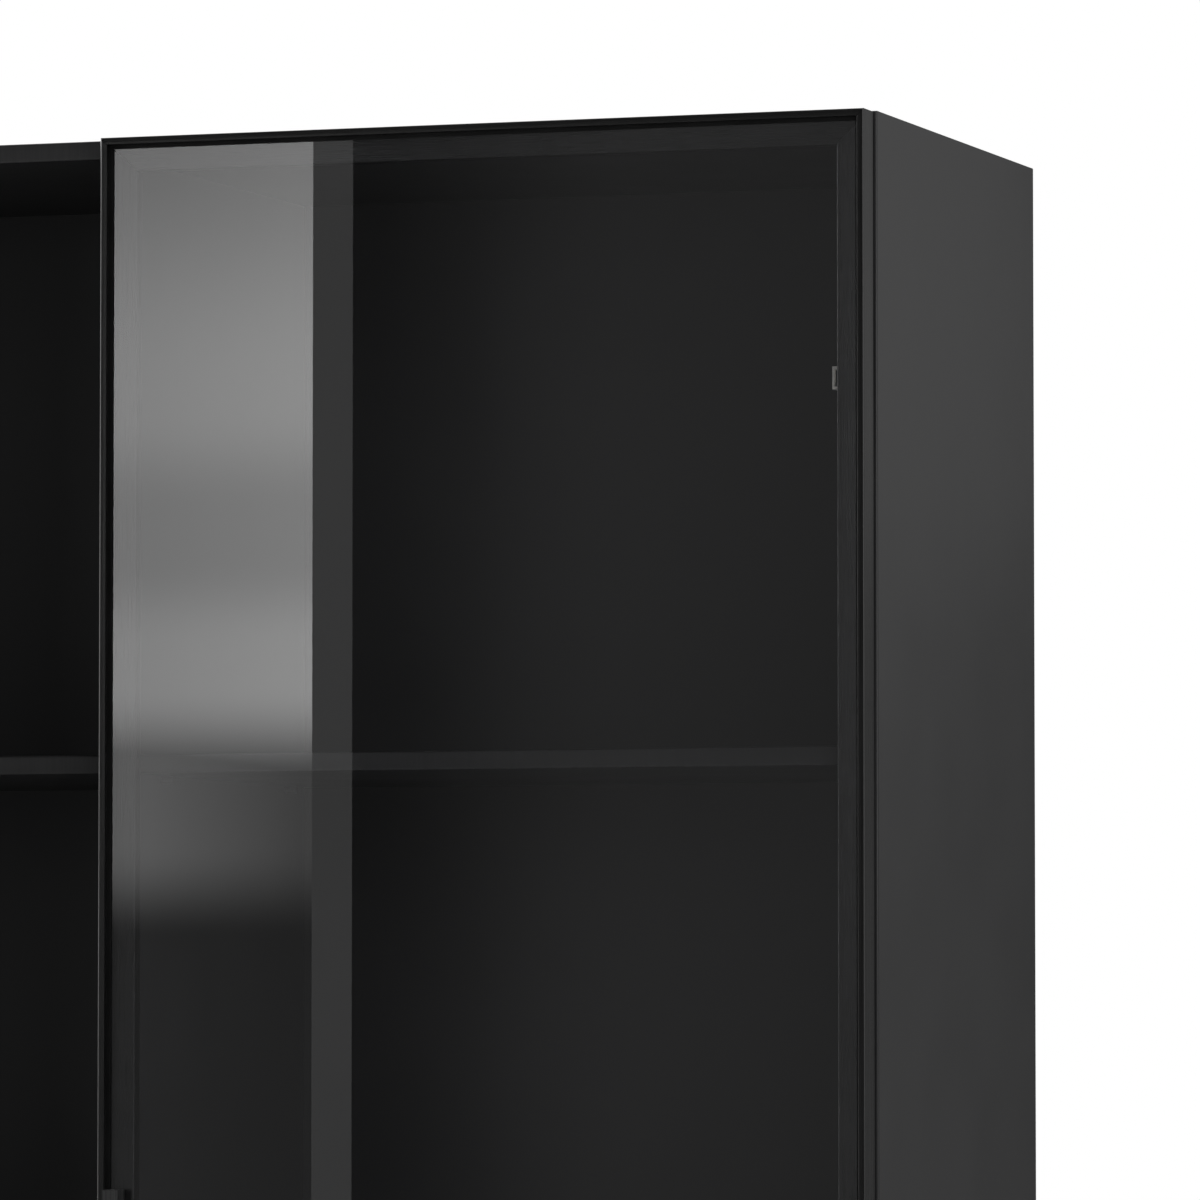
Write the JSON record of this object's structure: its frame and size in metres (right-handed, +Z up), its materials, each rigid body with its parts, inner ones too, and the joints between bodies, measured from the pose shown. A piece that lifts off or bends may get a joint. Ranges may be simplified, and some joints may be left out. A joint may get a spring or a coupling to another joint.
{
  "type": "hanging wall cabinet",
  "caption": "Black hanging wall cabinet with an open bay beside a bay behind a framed smoked-glass door, on a concealed wall rail.",
  "frame": {"origin": "on the wall rail's back face, midway along the rail, in the wall plane", "axes": "+X to the right seen from the front, +Y into the wall, +Z up; fronts face -Y"},
  "size_m": [1, 0.3728, 0.78],
  "materials": {
    "black_laminate": "satin black melamine laminate on 12 mm board",
    "back_board": "matt black laminated back board",
    "black_aluminium": "satin black anodised",
    "smoked_glass": "polished grey-tinted toughened glass",
    "glazing_rubber": "matt black",
    "nickel_steel": "nickel plated",
    "zinc_steel": "bright zinc plated",
    "black_plastic": "fine-textured moulding",
    "bumper_rubber": "clear soft bumper"
  },
  "bodies": {
    "root": {"back_panel": "back_board", "bottom_panel": "black_laminate", "centre_divider": "black_laminate", "door_bumper_lower": "bumper_rubber", "door_bumper_upper": "bumper_rubber", "hanger_cap_left": "black_plastic", "hanger_cap_right": "black_plastic", "hanger_depth_screw_left": "zinc_steel", "hanger_depth_screw_right": "zinc_steel", "hanger_height_screw_left": "zinc_steel", "hanger_height_screw_right": "zinc_steel", "hanger_hook_left": "zinc_steel", "hanger_hook_right": "zinc_steel", "hanger_housing_left": "black_plastic", "hanger_housing_right": "black_plastic", "hinge_lower_arm": "nickel_steel", "hinge_lower_plate": "nickel_steel", "hinge_lower_plate_screw_bottom": "nickel_steel", "hinge_lower_plate_screw_top": "nickel_steel", "hinge_upper_arm": "nickel_steel", "hinge_upper_plate": "nickel_steel", "hinge_upper_plate_screw_bottom": "nickel_steel", "hinge_upper_plate_screw_top": "nickel_steel", "shelf_left": "black_laminate", "shelf_pin_left_bay_left_front": "black_plastic", "shelf_pin_left_bay_left_rear": "black_plastic", "shelf_pin_left_bay_right_front": "black_plastic", "shelf_pin_left_bay_right_rear": "black_plastic", "shelf_pin_right_bay_left_front": "black_plastic", "shelf_pin_right_bay_left_rear": "black_plastic", "shelf_pin_right_bay_right_front": "black_plastic", "shelf_pin_right_bay_right_rear": "black_plastic", "shelf_right": "black_laminate", "side_panel_left": "black_laminate", "side_panel_right": "black_laminate", "top_panel": "black_laminate", "wall_rail": "zinc_steel"},
    "door": {"corner_cleat_bottom_left": "zinc_steel", "corner_cleat_bottom_right": "zinc_steel", "corner_cleat_top_left": "zinc_steel", "corner_cleat_top_right": "zinc_steel", "door_frame_bottom": "black_aluminium", "door_frame_left": "black_aluminium", "door_frame_right": "black_aluminium", "door_frame_top": "black_aluminium", "door_gasket_bottom": "glazing_rubber", "door_gasket_left": "glazing_rubber", "door_gasket_right": "glazing_rubber", "door_gasket_top": "glazing_rubber", "door_glass": "smoked_glass", "handle": "black_aluminium", "handle_screw_lower": "zinc_steel", "handle_screw_upper": "zinc_steel", "hinge_lower_bracket": "nickel_steel", "hinge_upper_bracket": "nickel_steel"},
    "lower_arm_link": {"hinge_lower_arm_link": "nickel_steel"},
    "lower_cup_link": {"hinge_lower_cup_link": "nickel_steel"},
    "upper_arm_link": {"hinge_upper_arm_link": "nickel_steel"},
    "upper_cup_link": {"hinge_upper_cup_link": "nickel_steel"}
  },
  "joints": [
    {"name": "door_swing", "type": "hinge", "parent": "root", "child": "door", "pos_m": [0.494, -0.353, 0], "axis": [0, 0, 1], "range_deg": [0, 105]},
    {"name": "upper_arm_link_swing", "type": "hinge", "parent": "root", "child": "upper_arm_link", "pos_m": [0.478, -0.312, -0.112], "axis": [0, 0, 1], "range_deg": [0, 7.3]},
    {"name": "upper_cup_link_swing", "type": "hinge", "parent": "door", "child": "upper_cup_link", "pos_m": [0.478, -0.34, -0.112], "axis": [0, 0, 1], "range_deg": [-97.9, 0]},
    {"name": "lower_arm_link_swing", "type": "hinge", "parent": "root", "child": "lower_arm_link", "pos_m": [0.478, -0.312, -0.635], "axis": [0, 0, 1], "range_deg": [0, 7.3]},
    {"name": "lower_cup_link_swing", "type": "hinge", "parent": "door", "child": "lower_cup_link", "pos_m": [0.478, -0.34, -0.635], "axis": [0, 0, 1], "range_deg": [-97.9, 0]}
  ],
  "couplings": [
    {"joint": "upper_arm_link_swing", "follows": "door_swing", "ratio": 0.0688},
    {"joint": "upper_cup_link_swing", "follows": "door_swing", "ratio": -0.9312},
    {"joint": "lower_arm_link_swing", "follows": "door_swing", "ratio": 0.0688},
    {"joint": "lower_cup_link_swing", "follows": "door_swing", "ratio": -0.9312}
  ]
}
